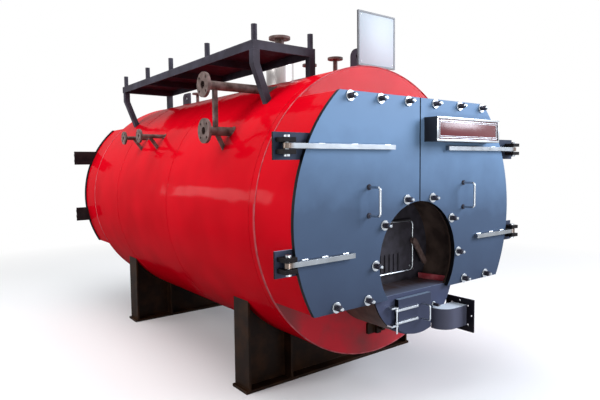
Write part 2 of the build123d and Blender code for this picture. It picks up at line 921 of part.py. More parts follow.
def saddle(station):
    """One saddle: base plate, web across the drum, end plates and ribs, cut to the drum's curve."""
    half_width = base_plate_width / 2
    half_plate = saddle_plate / 2
    z = (base_plate_thickness, axis_height)
    y = (station - half_width, station + half_width)
    web_y = (station - half_plate, station + half_plate)
    body = block((-saddle_end_offset, saddle_end_offset), web_y, z)
    for offset in (-saddle_end_offset, -saddle_rib_offset, saddle_rib_offset, saddle_end_offset):
        body += block((offset - half_plate, offset + half_plate), y, z)
    base = block((-base_plate_length / 2, base_plate_length / 2), y, (0, base_plate_thickness))
    return base + (body - drum_envelope)


nodes = {
    "shell_barrel": shell_barrel(),
    "front_tube_plate": front_tube_plate(),
    "front_lower_plate": front_lower_plate(),
    "rear_tube_plate": rear_tube_plate(),
    "smoke_tubes": smoke_tubes(),
    "furnace_tube": furnace_tube(),
    "front_saddle": saddle(0),
    "rear_saddle": saddle(saddle_spacing),
    "front_box_left": box_side(-1, front_rim, shell_front),
    "front_box_right": box_side(1, front_rim, shell_front),
    "front_box_top": box_top(front_rim, shell_front),
    "front_box_floor": box_floor(front_rim, shell_front) - casing_envelope,
    "rear_box_left": box_side(-1, shell_rear, rear_rim),
    "rear_box_right": box_side(1, shell_rear, rear_rim),
    "rear_box_top": box_top(shell_rear, rear_rim),
    "rear_box_floor": box_floor(shell_rear, rear_rim),
    "left_door": half_door(-1, door_front, door_back, True),
    "right_door": half_door(1, door_front, door_back, True),
    "left_door_straps": door_straps(-1, door_front, -1),
    "right_door_straps": door_straps(1, door_front, -1),
    "left_door_handle": door_handle(-1),
    "right_door_handle": door_handle(1),
    "sign_box": sign_box(),
    "front_hinge_plates": hinge_plates(front_rim, -1),
    "front_hinge_brackets": hinge_brackets(front_rim, -1),
    "front_hinge_pins": hinge_pins(front_rim, -1),
    "rear_left_door": half_door(-1, rear_door_front, rear_door_back, False),
    "rear_right_door": half_door(1, rear_door_front, rear_door_back, False),
    "rear_door_straps": Compound(children=[door_straps(side, rear_door_back, 1) for side in (-1, 1)]),
    "rear_hinge_plates": hinge_plates(rear_rim, 1),
    "rear_hinge_brackets": hinge_brackets(rear_rim, 1),
    "rear_hinge_pins": hinge_pins(rear_rim, 1),
    "furnace_casing": furnace_casing(),
    "casing_front_plate": casing_front_plate(),
    "dead_plate": dead_plate(),
    "fire_plate": fire_plate(),
    "fire_door": fire_door(),
    "fire_latch": fire_latch(),
    "fire_door_hinge": fire_door_hinge(),
    "ash_door": ash_door(),
    "ash_straps": ash_straps(),
    "ash_handle": ash_handle(),
    "ash_hinge": ash_hinge(),
    "air_duct": air_duct(),
    "gauge_nozzles": gauge_nozzles(),
    "feed_nozzles": feed_nozzles(),
    "safety_nozzles": safety_nozzles(),
    "vent_nozzle": vent_nozzle(),
    "steam_outlet": steam_outlet(),
    "steam_collar": steam_collar(),
    "lifting_lugs": lifting_lugs(),
    "data_board": data_board(),
    "walkway_frame": walkway_frame(),
    "walkway_deck": walkway_deck_plate(),
    "walkway_posts": walkway_posts(),
    "walkway_legs": walkway_legs(),
    "handhole_cover": handhole_cover(),
}

os.makedirs("parts", exist_ok=True)
for name, shape in nodes.items():
    export_step(shape, f"parts/{name}.step")
print(len(nodes), "nodes written")
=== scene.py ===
# %% [markdown]
# # Dressing a fire-tube boiler
#
# The real object is a steam boiler of about two metres across: a painted drum on two saddles, a smokebox
# with two half doors on the front, and nozzles, a steam outlet and a walkway on top. Its solids come
# packed, in metres, with the bodies that swing. One could model all of it again here, but the solids are
# exact already, so this lesson only adds what solids lack: fasteners, welds, seams, signs and finishes.

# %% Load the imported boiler
import math
import bmesh
import bpy
from mathutils import Matrix, Vector


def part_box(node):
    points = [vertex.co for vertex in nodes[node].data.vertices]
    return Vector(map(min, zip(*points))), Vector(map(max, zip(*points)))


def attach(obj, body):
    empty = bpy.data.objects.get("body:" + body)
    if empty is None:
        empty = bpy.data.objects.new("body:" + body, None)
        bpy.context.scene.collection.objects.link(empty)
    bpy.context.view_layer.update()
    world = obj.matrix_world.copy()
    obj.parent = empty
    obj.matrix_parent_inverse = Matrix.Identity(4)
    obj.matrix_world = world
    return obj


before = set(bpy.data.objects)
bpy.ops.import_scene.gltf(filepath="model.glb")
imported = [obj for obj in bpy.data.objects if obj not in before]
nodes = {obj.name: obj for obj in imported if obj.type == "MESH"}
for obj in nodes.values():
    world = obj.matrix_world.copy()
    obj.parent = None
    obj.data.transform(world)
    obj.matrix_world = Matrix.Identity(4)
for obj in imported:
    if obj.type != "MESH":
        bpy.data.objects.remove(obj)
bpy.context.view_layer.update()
scene = bpy.context.scene
scene.view_settings.view_transform = "Standard"

# %% [markdown]
# ## The drum's own measures
#
# Everything on the boiler hangs on a few planes: the drum's axis, its radius and its two ends, and the
# faces of the doors. They could be typed in, but then they would go stale when a solid changes. The packed
# solids are asked for their boxes instead.

# %% Measure the drum and the doors
mm = 0.001
drum_low, drum_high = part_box("shell_barrel")
drum_radius = (drum_high[0] - drum_low[0]) / 2
axis_z = (drum_high[2] + drum_low[2]) / 2
drum_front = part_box("front_tube_plate")[0][1]
drum_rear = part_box("rear_tube_plate")[1][1]
door_low, door_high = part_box("left_door")
door_front = door_low[1]
rear_door_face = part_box("rear_left_door")[1][1]
print("Drum radius", round(drum_radius, 3), "axis height", round(axis_z, 3))
print("Door face", round(door_front, 3))

# %% [markdown]
# ## The camera
#
# The picture to match was taken at eye height, left of the doors. A camera could be aimed at a target with
# a constraint, but a measured view has a roll too, so its matrix is put together from three turns. The
# focal length is known in pixels of a picture 600 wide, and the sensor width turns it to millimetres.

# %% Stand the camera where the picture was taken
picture_width = 600
focal_pixels = 517.81
camera_place = Vector((-2.6224, -3.0658, 1.5727))
yaw, pitch, roll = 0.6526, -0.0684, -0.0110

forward = Vector((math.sin(yaw) * math.cos(pitch), math.cos(yaw) * math.cos(pitch), math.sin(pitch)))
level_right = Vector((math.cos(yaw), -math.sin(yaw), 0))
level_up = level_right.cross(forward)
right = math.cos(roll) * level_right + math.sin(roll) * level_up
up = math.cos(roll) * level_up - math.sin(roll) * level_right

lens = bpy.data.cameras.new("picture_camera")
lens.sensor_width = 36
lens.lens = focal_pixels / picture_width * lens.sensor_width
camera = bpy.data.objects.new("picture_camera", lens)
scene.collection.objects.link(camera)
camera.matrix_world = Matrix.Translation(camera_place) @ Matrix((right, up, -forward)).transposed().to_4x4()
scene.camera = camera
print("Lens", round(lens.lens, 2), "mm")

# %% [markdown]
# ## Colours and nodes
#
# Colours are read off a screen, so they are written as sRGB hex values, while shaders work in linear light.
# One function turns the one to the other. A second adds any node, sets it and links it, so that a finish
# below reads as a list of what it is made of. Patterns are given in millimetres: a texture's scale is how
# many times it repeats in a metre.

# %% Helpers for finishes
def linear(colour):
    """The linear RGBA of an sRGB hex colour such as "#c8091a"."""
    parts = [int(colour[k:k + 2], 16) / 255 for k in (1, 3, 5)]
    return [c / 12.92 if c <= 0.04045 else ((c + 0.055) / 1.055) ** 2.4 for c in parts] + [1.0]


def per_metre(size):
    """A texture scale for a feature of that many millimetres."""
    return 1000 / size


def plug(holder, node, sockets):
    """Sets a node's sockets, by name or number, to values or to another node's output."""
    for socket, value in sockets.items():
        if isinstance(value, bpy.types.NodeSocket):
            holder.node_tree.links.new(value, node.inputs[socket])
        else:
            node.inputs[socket].default_value = value


def add(holder, kind, sockets=None, **settings):
    """Adds a node to a material or a world and gives its first output that is switched on."""
    node = holder.node_tree.nodes.new(kind)
    for name, value in settings.items():
        setattr(node, name, value)
    plug(holder, node, sockets or {})
    return [out for out in node.outputs if out.enabled][0]


def start_finish(name):
    """A new material with its shader, and the piece's own coordinates in metres."""
    finish = bpy.data.materials.new(name)
    finish.use_nodes = True
    shader = finish.node_tree.nodes["Principled BSDF"]
    place = add(finish, "ShaderNodeTexCoord").node.outputs["Object"]
    print("Finish", name)
    return finish, shader, place


print("White is", linear("#ffffff"))

# %% [markdown]
# ## Floor and light
#
# The boiler stands on a plain pale floor. A real studio has a paper sweep that fades into the background;
# here the floor turns to plain white with distance for rays that come from the camera, which costs no light
# on the object. Under the boiler it stays a matt floor, so it keeps the shadow. For rays that only carry
# bounced light it is dark, because a bright floor would wash out the drum's belly.

# %% Lay the floor and hang the world
def seen_rays(holder):
    """1 for rays from the camera and for rays off metal or through glass, 0 for bounced light."""
    rays = add(holder, "ShaderNodeLightPath").node.outputs
    seen = add(holder, "ShaderNodeMath", {0: rays["Is Camera Ray"], 1: rays["Is Glossy Ray"]},
               operation="MAXIMUM")
    return add(holder, "ShaderNodeMath", {0: seen, 1: rays["Is Transmission Ray"]}, operation="MAXIMUM")


floor_half = 30.0
floor_z = -0.5 * mm
fade_middle = (0, 1.0, 0)
fade_start, fade_end = 2.6, 7.0
floor_mesh = bpy.data.meshes.new("studio_floor")
corners = [(x * floor_half, y * floor_half, floor_z) for x, y in ((-1, -1), (1, -1), (1, 1), (-1, 1))]
floor_mesh.from_pydata(corners, [], [(0, 1, 2, 3)])
floor = bpy.data.objects.new("studio_floor", floor_mesh)
scene.collection.objects.link(floor)

paper, paper_shader, place = start_finish("matt_studio_paper")
seen = seen_rays(paper)
shade = add(paper, "ShaderNodeMix", {0: seen, 6: linear("#4b4d51"), 7: linear("#f4f5f6")}, data_type="RGBA")
plug(paper, paper_shader, {"Base Color": shade, "Roughness": 0.9, "Specular IOR Level": 0.1})
distance = add(paper, "ShaderNodeVectorMath", {0: place, 1: fade_middle}, operation="DISTANCE")
distance = distance.node.outputs["Value"]
far = add(paper, "ShaderNodeMapRange", {"Value": distance, "From Min": fade_start, "From Max": fade_end})
white = add(paper, "ShaderNodeEmission", {"Color": linear("#ffffff"), "Strength": 1.0})
share = add(paper, "ShaderNodeMath", {0: far, 1: seen}, operation="MULTIPLY")
mixed = add(paper, "ShaderNodeMixShader", {0: share, 1: paper_shader.outputs[0], 2: white})
plug(paper, paper.node_tree.nodes["Material Output"], {"Surface": mixed})
floor_mesh.materials.append(paper)

world = bpy.data.worlds.new("studio_world")
world.use_nodes = True
scene.world = world
room = add(world, "ShaderNodeBackground", {"Color": linear("#f2f5fa"), "Strength": 0.40})
sky = add(world, "ShaderNodeBackground", {"Color": linear("#ffffff"), "Strength": 1.0})
mixed = add(world, "ShaderNodeMixShader", {0: seen_rays(world), 1: room, 2: sky})
plug(world, world.node_tree.nodes["World Output"], {"Surface": mixed})
print("Floor", 2 * floor_half, "m wide")

# %% [markdown]
# An overcast sky is copied by soft panels: a wide one overhead, a large one high to the right of the doors,
# which throws the short shadows of the studs to the left, one high beside the drum, a weak long strip
# parallel to the drum that lays a sheen along its side, and a low one in front that fills the shade under
# the doors. Panels are used instead of a sun lamp because such a sky has no hard edge.

# %% Hang the light panels
def light_panel(name, place, target, width, height, watts, colour="#ffffff"):
    """A soft box that looks at a target; places and sizes are in metres."""
    panel = bpy.data.lights.new(name, "AREA")
    panel.shape = "RECTANGLE"
    panel.size, panel.size_y = width, height
    panel.energy = watts
    panel.color = linear(colour)[:3]
    lamp = bpy.data.objects.new(name, panel)
    scene.collection.objects.link(lamp)
    aim = (Vector(target) - Vector(place)).to_track_quat("-Z", "Y")
    lamp.matrix_world = Matrix.Translation(place) @ aim.to_matrix().to_4x4()


boiler_middle = (0, 1.0, 1.2)
door_middle = (0, door_front, 1.4)
drum_side = (-0.9, 0.6, 1.4)
end_plate_foot = (0, drum_front, 0.6)
light_panel("overhead_panel", (-0.8, 0.6, 6.5), boiler_middle, 5.0, 5.0, 250)
light_panel("door_panel", (6.6, -6.4, 5.0), door_middle, 4.6, 4.6, 980, "#eef4ff")
light_panel("side_panel", (-5.5, 0.4, 3.4), drum_side, 3.0, 3.0, 175)
light_panel("sheen_strip", (-3.2, 4.3, 1.80), (0, 4.3, 1.80), 3.2, 0.5, 28)
light_panel("low_panel", (-1.2, -4.6, 0.5), end_plate_foot, 2.4, 0.7, 42)
print("Panels hung")

# %% [markdown]
# ## Finishes
#
# A painted machine is mostly two things to the eye: a colour that is never quite even, and an edge that
# catches the light. The solids have sharp edges, so each finish rounds them a little with a Bevel node,
# which bends the shading and not the shape. The same node tells where an edge is: there its normal differs
# from the true one, and paint wears thin. Most finishes give the edge a paler colour, which is both that
# wear and a painted highlight.

# %% A helper for worn edges
def soft_edge(finish, radius):
    """(rounded normal, edge mask): the mask is 1 on edges and 0 on flats."""
    rounded = add(finish, "ShaderNodeBevel", {"Radius": radius * mm}, samples=4)
    flat = add(finish, "ShaderNodeNewGeometry").node.outputs["Normal"]
    turn = add(finish, "ShaderNodeVectorMath", {0: rounded, 1: flat}, operation="DOT_PRODUCT")
    turn = turn.node.outputs["Value"]
    mask = add(finish, "ShaderNodeMapRange", {"Value": turn, "From Min": 0.98, "From Max": 0.80})
    return rounded, mask


print("Edges are rounded in the shading only")

# %% [markdown]
# ### Red alkyd enamel
#
# The drum's lagging sheets and both smokeboxes are sprayed with a glossy red alkyd enamel. A sprayed film
# shows no strokes, only the slow waves and shallow dents of thin sheet over wool, and a fine orange peel.
# The waves could be modelled in the mesh, but they are a millimetre or two deep, so bump is enough. Like
# every paint here it is a colour under a thin clear film: the base mirrors nothing and a light coat carries
# the gloss, because a base that mirrors a white room at a glancing angle looks washed out.

# %% Mix the red enamel
sheet_wave, sheet_dent, orange_peel = per_metre(380), per_metre(120), per_metre(9)
red_enamel, shader, place = start_finish("red_alkyd_enamel")
rounded, edge = soft_edge(red_enamel, 4)
wave = add(red_enamel, "ShaderNodeTexNoise", {"Vector": place, "Scale": sheet_wave, "Detail": 1.0})
dent = add(red_enamel, "ShaderNodeTexNoise", {"Vector": place, "Scale": sheet_dent, "Detail": 1.0})
peel = add(red_enamel, "ShaderNodeTexNoise", {"Vector": place, "Scale": orange_peel, "Detail": 2.0})
skin = rounded
for relief, depth, strength in ((wave, 12 * mm, 0.5), (dent, 6 * mm, 0.6), (peel, 0.12 * mm, 0.4)):
    skin = add(red_enamel, "ShaderNodeBump",
               {"Height": relief, "Distance": depth, "Strength": strength, "Normal": skin})
fade = add(red_enamel, "ShaderNodeMapRange", {"Value": wave, "From Min": 0.35, "From Max": 0.65})
# Edges turn a paler red: a painted highlight along them, with a little wear.
wear_and_edge_highlight = add(red_enamel, "ShaderNodeMath", {0: edge, 1: 0.3}, operation="MULTIPLY")
colour = linear("#c60417")
for mask, coat in ((fade, "#d4061b"), (wear_and_edge_highlight, "#e8484c")):
    colour = add(red_enamel, "ShaderNodeMix", {0: mask, 6: colour, 7: linear(coat)}, data_type="RGBA")
gloss = add(red_enamel, "ShaderNodeMapRange", {"Value": wave, "To Min": 0.14, "To Max": 0.24})
dusty_z, clean_z = axis_z - 0.1, axis_z + 0.7
height = add(red_enamel, "ShaderNodeSeparateXYZ", {0: place}).node.outputs["Z"]
clear = add(red_enamel, "ShaderNodeMapRange", {"Value": height, "From Min": dusty_z, "From Max": clean_z,
                                               "To Min": 0.05, "To Max": 0.16})
# A wet, even red with a soft broad sheen that wanders a little along the sheet, and duller below the
# middle, where dust lies on the film.
plug(red_enamel, shader, {"Base Color": colour, "Roughness": gloss, "Normal": skin, "Coat Normal": skin,
                          "Specular IOR Level": 0.0, "Coat Weight": clear, "Coat Roughness": 0.10})

# %% [markdown]
# ### Slate alkyd enamel
#
# The doors and the furnace front have a satin slate-blue enamel, rolled on over thick plate. On the doors
# its colour carries a painted shade towards the bottom and a painted sky reflection at the top, and grows a
# little lighter to the right. The ash door and the air duct got the same paint in one even tone each. The
# sides of the plates are near black, and so are their faces towards the drum, with soot on it. Masks on the
# plate's own normal give both without a second material. Ledges that face up have a colour of their own,
# which on all but the doors is a painted highlight from the sky.

# %% Tell a plate's faces apart
drum_middle = (drum_front + drum_rear) / 2


def plate_masks(finish, xyz):
    """(faces to the front or rear, sides, ledges, faces towards the drum), from the plate's own normal."""
    own = add(finish, "ShaderNodeTexCoord").node.outputs["Normal"]
    own = add(finish, "ShaderNodeSeparateXYZ", {0: own}).node.outputs
    front = add(finish, "ShaderNodeMath", {0: own["Y"]}, operation="ABSOLUTE")
    side = add(finish, "ShaderNodeMapRange", {"Value": front, "From Min": 0.55, "From Max": 0.25})
    top = add(finish, "ShaderNodeMapRange", {"Value": own["Z"], "From Min": 0.6, "From Max": 0.8})
    inward = add(finish, "ShaderNodeMath", {0: drum_middle, 1: xyz["Y"]}, operation="SUBTRACT")
    inward = add(finish, "ShaderNodeMath", {0: inward, 1: own["Y"]}, operation="MULTIPLY")
    inward = add(finish, "ShaderNodeMath", {0: inward, 1: 0.5}, operation="GREATER_THAN")
    return front, side, top, inward


print("Plates face the drum's middle, y =", round(drum_middle, 3))

# %% Mix the slate enamels
roller_cloud, roller_grain = per_metre(220), per_metre(14)
# Heights where the doors' colour climbs from a painted shade at the foot to a painted sky reflection at the
# top.
shade_low, shade_high = 0.72, 1.42
sky_reflection_low, sky_reflection_high = 1.38, 1.88
nowhere = 9.0


def slate_paint(name, low, middle, high, ledge_and_highlight, side_and_back_colour, dark="#17151c", shade_past_x=nowhere, dark_z=nowhere):
    """A slate enamel with a painted shade low down and a painted sky reflection high up; beyond a given x
    or over a given z it has a dark colour.
    """
    finish, shader, place = start_finish(name)
    rounded, edge = soft_edge(finish, 3)
    cloud = add(finish, "ShaderNodeTexNoise", {"Vector": place, "Scale": roller_cloud, "Detail": 4.0})
    grain = add(finish, "ShaderNodeTexNoise", {"Vector": place, "Scale": roller_grain, "Detail": 2.0})
    xyz = add(finish, "ShaderNodeSeparateXYZ", {0: place}).node.outputs
    front, side, top, inward = plate_masks(finish, xyz)
    # Painted shade and painted sky reflection: the colour follows the height and a slow cloud, and leans
    # lighter to the right.
    drift = add(finish, "ShaderNodeMath", {0: cloud, 1: 0.25, 2: xyz["Z"]}, operation="MULTIPLY_ADD")
    drift = add(finish, "ShaderNodeMath", {0: xyz["X"], 1: 0.08, 2: drift}, operation="MULTIPLY_ADD")
    rise = add(finish, "ShaderNodeMapRange", {"Value": drift, "From Min": shade_low, "From Max": shade_high})
    reflected_sky = add(finish, "ShaderNodeMapRange", {"Value": drift, "From Min": sky_reflection_low, "From Max": sky_reflection_high})
    lining = add(finish, "ShaderNodeMapRange", {"Value": cloud, "From Min": 0.40, "From Max": 0.66})
    lining = add(finish, "ShaderNodeMix", {0: lining, 6: linear(side_and_back_colour), 7: linear("#2e2a29")},
                 data_type="RGBA")
    # Front faces turn paler at their edges: a painted highlight, with a little wear.
    wear_and_edge_highlight = add(finish, "ShaderNodeMath", {0: edge, 1: front}, operation="MULTIPLY")
    wear_and_edge_highlight = add(finish, "ShaderNodeMath", {0: wear_and_edge_highlight, 1: 0.4}, operation="MULTIPLY")
    beyond = add(finish, "ShaderNodeMath", {0: xyz["X"], 1: shade_past_x}, operation="GREATER_THAN")
    over = add(finish, "ShaderNodeMath", {0: xyz["Z"], 1: dark_z}, operation="GREATER_THAN")
    soot_and_shade = add(finish, "ShaderNodeMath", {0: beyond, 1: over}, operation="MAXIMUM")
    colour = linear(low)
    for mask, coat in ((rise, linear(middle)), (reflected_sky, linear(high)), (side, linear(side_and_back_colour)),
                       (inward, lining), (top, linear(ledge_and_highlight)), (wear_and_edge_highlight, linear("#8390a8")),
                       (soot_and_shade, linear(dark))):
        colour = add(finish, "ShaderNodeMix", {0: mask, 6: colour, 7: coat}, data_type="RGBA")
    gloss = add(finish, "ShaderNodeMapRange", {"Value": cloud, "To Min": 0.36, "To Max": 0.52})
    skin = add(finish, "ShaderNodeBump",
               {"Height": grain, "Distance": 0.3 * mm, "Strength": 0.3, "Normal": rounded})
    # A satin blue-grey with a painted sky reflection at the top, a painted shade towards the bottom and a
    # little more light to the right.
    plug(finish, shader, {"Base Color": colour, "Roughness": gloss, "Normal": skin, "Coat Normal": skin,
                          "Specular IOR Level": 0.0, "Coat Weight": 0.2, "Coat Roughness": 0.35})
    return finish


slate_enamel = slate_paint("slate_alkyd_enamel", "#3b455a", "#536681", "#7e9fc5", "#262c38", "#121318")
# The fifth colour is for faces that look up: dark on the doors, and a painted highlight from the sky on the
# ash door, the casing and the duct.
even_dark_slate = slate_paint("slate_alkyd_enamel_even_dark", "#3f4458", "#3f475b", "#3e4659", "#8091a6", "#121318")
casing_blue, duct_blue = "#484e66", "#585a6c"
sill_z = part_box("dead_plate")[1][2]
# Above the sill the casing front is dark: soot, and a painted shade at the mouth's edge.
casing_slate = slate_paint("slate_alkyd_enamel_casing", casing_blue, casing_blue, casing_blue, "#7f8ca6",
                           "#121318", dark="#43352f", dark_z=sill_z)
duct_flange = 10.5 * mm
duct_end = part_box("air_duct")[1][0] - duct_flange
# Past the flange face the duct is near black, a painted shade on the flange's far side.
duct_slate = slate_paint("slate_alkyd_enamel_duct", duct_blue, duct_blue, duct_blue, "#e6f1fc", duct_blue,
                         shade_past_x=duct_end)

# %% [markdown]
# ### Black shop paint
#
# Saddles, hinge clevises, lugs and the walkway are hot-rolled steel under one coat of black shop paint,
# dulled by dust and first rust. The saddles stand low and are browner, the walkway is a lighter blue-grey,
# which is a painted sky light, and the hinges are fresh, so one function mixes all three from a dark and a
# dusty colour.

# %% Mix the black paints
dust_patch, mill_speck = per_metre(120), per_metre(7)


def black_shop_paint(name, dark, dusty, edge_colour):
    """A thin black paint on hot-rolled steel, with dust in patches and bare corners."""
    finish, shader, place = start_finish(name)
    rounded, edge = soft_edge(finish, 3)
    patch = add(finish, "ShaderNodeTexNoise", {"Vector": place, "Scale": dust_patch, "Detail": 6.0})
    speck = add(finish, "ShaderNodeTexNoise", {"Vector": place, "Scale": mill_speck, "Detail": 3.0})
    dust = add(finish, "ShaderNodeMapRange", {"Value": patch, "From Min": 0.42, "From Max": 0.70})
    colour = add(finish, "ShaderNodeMix", {0: dust, 6: linear(dark), 7: linear(dusty)}, data_type="RGBA")
    wear_and_edge_highlight = add(finish, "ShaderNodeMath", {0: edge, 1: patch}, operation="MULTIPLY")
    colour = add(finish, "ShaderNodeMix", {0: wear_and_edge_highlight, 6: colour, 7: linear(edge_colour)}, data_type="RGBA")
    gloss = add(finish, "ShaderNodeMapRange", {"Value": patch, "To Min": 0.34, "To Max": 0.62})
    skin = add(finish, "ShaderNodeBump",
               {"Height": speck, "Distance": 0.4 * mm, "Strength": 0.4, "Normal": rounded})
    # Nearly black, with a brown cast where dust lies and a pale line on the corners that is both wear and a
    # painted highlight.
    plug(finish, shader, {"Base Color": colour, "Roughness": gloss, "Normal": skin, "Coat Normal": skin,
                          "Specular IOR Level": 0.0, "Coat Weight": 0.2, "Coat Roughness": 0.4})
    return finish


saddle_paint = black_shop_paint("black_shop_paint_dusty", "#1b100a", "#301d10", "#5d4634")
# The walkway's lighter blue-grey is a painted light from the sky.
walkway_paint = black_shop_paint("black_shop_paint_sky_lit", "#36333c", "#464450", "#85828f")
hinge_paint = black_shop_paint("black_shop_paint_fresh", "#131114", "#241f20", "#55504f")

# %% [markdown]
# ### Rusty and bright metals
#
# The nozzle flanges are plain forged steel with a brown rust bloom, the straps and washers are zinc plated,
# and the collar of the steam outlet is stainless sheet. Rust is not a metal to the eye, so its shader is a
# rough dielectric, while zinc and stainless are full metals whose brightness comes from what they mirror.

# %% Mix the rusty steel
rust_bloom, rust_pit = per_metre(45), per_metre(5)
rusty_steel, shader, place = start_finish("rust_bloomed_forged_steel")
rounded, edge = soft_edge(rusty_steel, 2)
bloom = add(rusty_steel, "ShaderNodeTexNoise", {"Vector": place, "Scale": rust_bloom, "Detail": 6.0})
pit = add(rusty_steel, "ShaderNodeTexNoise", {"Vector": place, "Scale": rust_pit, "Detail": 3.0})
spread = add(rusty_steel, "ShaderNodeMapRange", {"Value": bloom, "From Min": 0.35, "From Max": 0.68})
rub = add(rusty_steel, "ShaderNodeMath", {0: edge, 1: 0.5}, operation="MULTIPLY")
colour = linear("#45332d")
for mask, coat in ((spread, "#7a6662"), (rub, "#95817a")):
    colour = add(rusty_steel, "ShaderNodeMix", {0: mask, 6: colour, 7: linear(coat)}, data_type="RGBA")
gloss = add(rusty_steel, "ShaderNodeMapRange", {"Value": bloom, "To Min": 0.45, "To Max": 0.75})
skin = add(rusty_steel, "ShaderNodeBump",
           {"Height": pit, "Distance": 0.4 * mm, "Strength": 0.5, "Normal": rounded})
# A dull brown that is lighter where a spanner or a sling has rubbed it.
plug(rusty_steel, shader, {"Base Color": colour, "Roughness": gloss, "Normal": skin,
                           "Specular IOR Level": 0.25})

# %% Mix the zinc and the stainless
zinc_spangle, zinc_haze = per_metre(6), per_metre(70)
grease_fade = 30 * mm


def zinc_plating(name, dull, bright, grime_reach):
    """Zinc on steel; beyond a distance from the boiler's middle plane it is stained by hinge grease."""
    finish, shader, place = start_finish(name)
    rounded = soft_edge(finish, 2)[0]
    spangle = add(finish, "ShaderNodeTexVoronoi", {"Vector": place, "Scale": zinc_spangle})
    haze = add(finish, "ShaderNodeTexNoise", {"Vector": place, "Scale": zinc_haze, "Detail": 4.0})
    out = add(finish, "ShaderNodeSeparateXYZ", {0: place}).node.outputs["X"]
    out = add(finish, "ShaderNodeMath", {0: out}, operation="ABSOLUTE")
    stained = add(finish, "ShaderNodeMapRange", {"Value": out, "From Min": grime_reach,
                                                 "From Max": grime_reach + grease_fade, "To Max": 0.8})
    colour = add(finish, "ShaderNodeMix", {0: haze, 6: linear(dull), 7: linear(bright)}, data_type="RGBA")
    colour = add(finish, "ShaderNodeMix", {0: stained, 6: colour, 7: linear("#6b5646")}, data_type="RGBA")
    gloss = add(finish, "ShaderNodeMapRange", {"Value": haze, "To Min": 0.22, "To Max": 0.40})
    skin = add(finish, "ShaderNodeBump",
               {"Height": spangle, "Distance": 0.1 * mm, "Strength": 0.2, "Normal": rounded})
    # Close to white in daylight, with a faint crystal grain.
    plug(finish, shader, {"Base Color": colour, "Metallic": 1.0, "Roughness": gloss, "Normal": skin})
    return finish


hinge_reach = 1.02
zinc_steel = zinc_plating("zinc_plated_steel", "#a2a7ad", "#c6ccd2", nowhere)
strap_steel = zinc_plating("zinc_plated_steel_greasy", "#84898f", "#a0a6ac", hinge_reach)

rolling_line = per_metre(4)
stainless, shader, place = start_finish("rolled_stainless_sheet")
rounded = soft_edge(stainless, 2)[0]
stretch = add(stainless, "ShaderNodeMapping", {"Vector": place, "Scale": (1, 1, 0.05)})
lines = add(stainless, "ShaderNodeTexNoise", {"Vector": stretch, "Scale": rolling_line, "Detail": 2.0})
colour = add(stainless, "ShaderNodeMix", {0: lines, 6: linear("#aca8a6"), 7: linear("#cdcac8")},
             data_type="RGBA")
gloss = add(stainless, "ShaderNodeMapRange", {"Value": lines, "To Min": 0.34, "To Max": 0.48})
skin = add(stainless, "ShaderNodeBump",
           {"Height": lines, "Distance": 0.1 * mm, "Strength": 0.15, "Normal": rounded})
# A soft mirror drawn out upright by the rolling lines.
plug(stainless, shader, {"Base Color": colour, "Metallic": 1.0, "Roughness": gloss, "Normal": skin})

# %% [markdown]
# Near the fire, soot and ash lie in patches on everything: on the fire door's cast iron, the rolled casing
# and the tubes, and on the red enamel of the lower end plate and the kerb. The rims' beads get the kerb's
# pale red as a painted highlight. One function mixes them all from a dark and a light colour.

# %% Mix the sooty iron and the sooty red
casting_grain = per_metre(3)


def sooty_iron(name, dark, light, soot_size):
    """Iron or paint near the fire, with soot in patches of that many millimetres."""
    finish, shader, place = start_finish(name)
    rounded = soft_edge(finish, 2)[0]
    soot = add(finish, "ShaderNodeTexNoise",
               {"Vector": place, "Scale": per_metre(soot_size), "Detail": 6.0})
    sand = add(finish, "ShaderNodeTexNoise", {"Vector": place, "Scale": casting_grain, "Detail": 2.0})
    spread = add(finish, "ShaderNodeMapRange", {"Value": soot, "From Min": 0.38, "From Max": 0.66})
    colour = add(finish, "ShaderNodeMix", {0: spread, 6: linear(dark), 7: linear(light)}, data_type="RGBA")
    rough = add(finish, "ShaderNodeMapRange", {"Value": soot, "To Min": 0.5, "To Max": 0.75})
    skin = add(finish, "ShaderNodeBump",
               {"Height": sand, "Distance": 0.3 * mm, "Strength": 0.5, "Normal": rounded})
    # A dead, grainy surface with a lighter bloom.
    plug(finish, shader, {"Base Color": colour, "Roughness": rough, "Normal": skin,
                          "Specular IOR Level": 0.25})
    return finish


furnace_iron = sooty_iron("sooty_cast_iron", "#252228", "#39363f", 60)
throat = sooty_iron("sooty_rolled_casing", "#3c2f2b", "#66544b", 110)
tube_steel = sooty_iron("boiler_tube_steel", "#3a332f", "#5d544e", 90)
# Paler red: ash on the kerb, and a painted highlight on the rims' beads.
ash_and_highlight_red = sooty_iron("red_enamel_ash_and_highlight", "#a83a44", "#d07278", 70)
smoked_red = sooty_iron("red_enamel_under_smoke", "#8e3a3e", "#d42c3a", 300)

# %% [markdown]
# ### Paint that changes along a piece
#
# The dead plate inside the mouth is slate at the sill and brown further in, where hot ash is raked over it.
# It is one solid, so the change follows the plate's own coordinates instead of a second material.

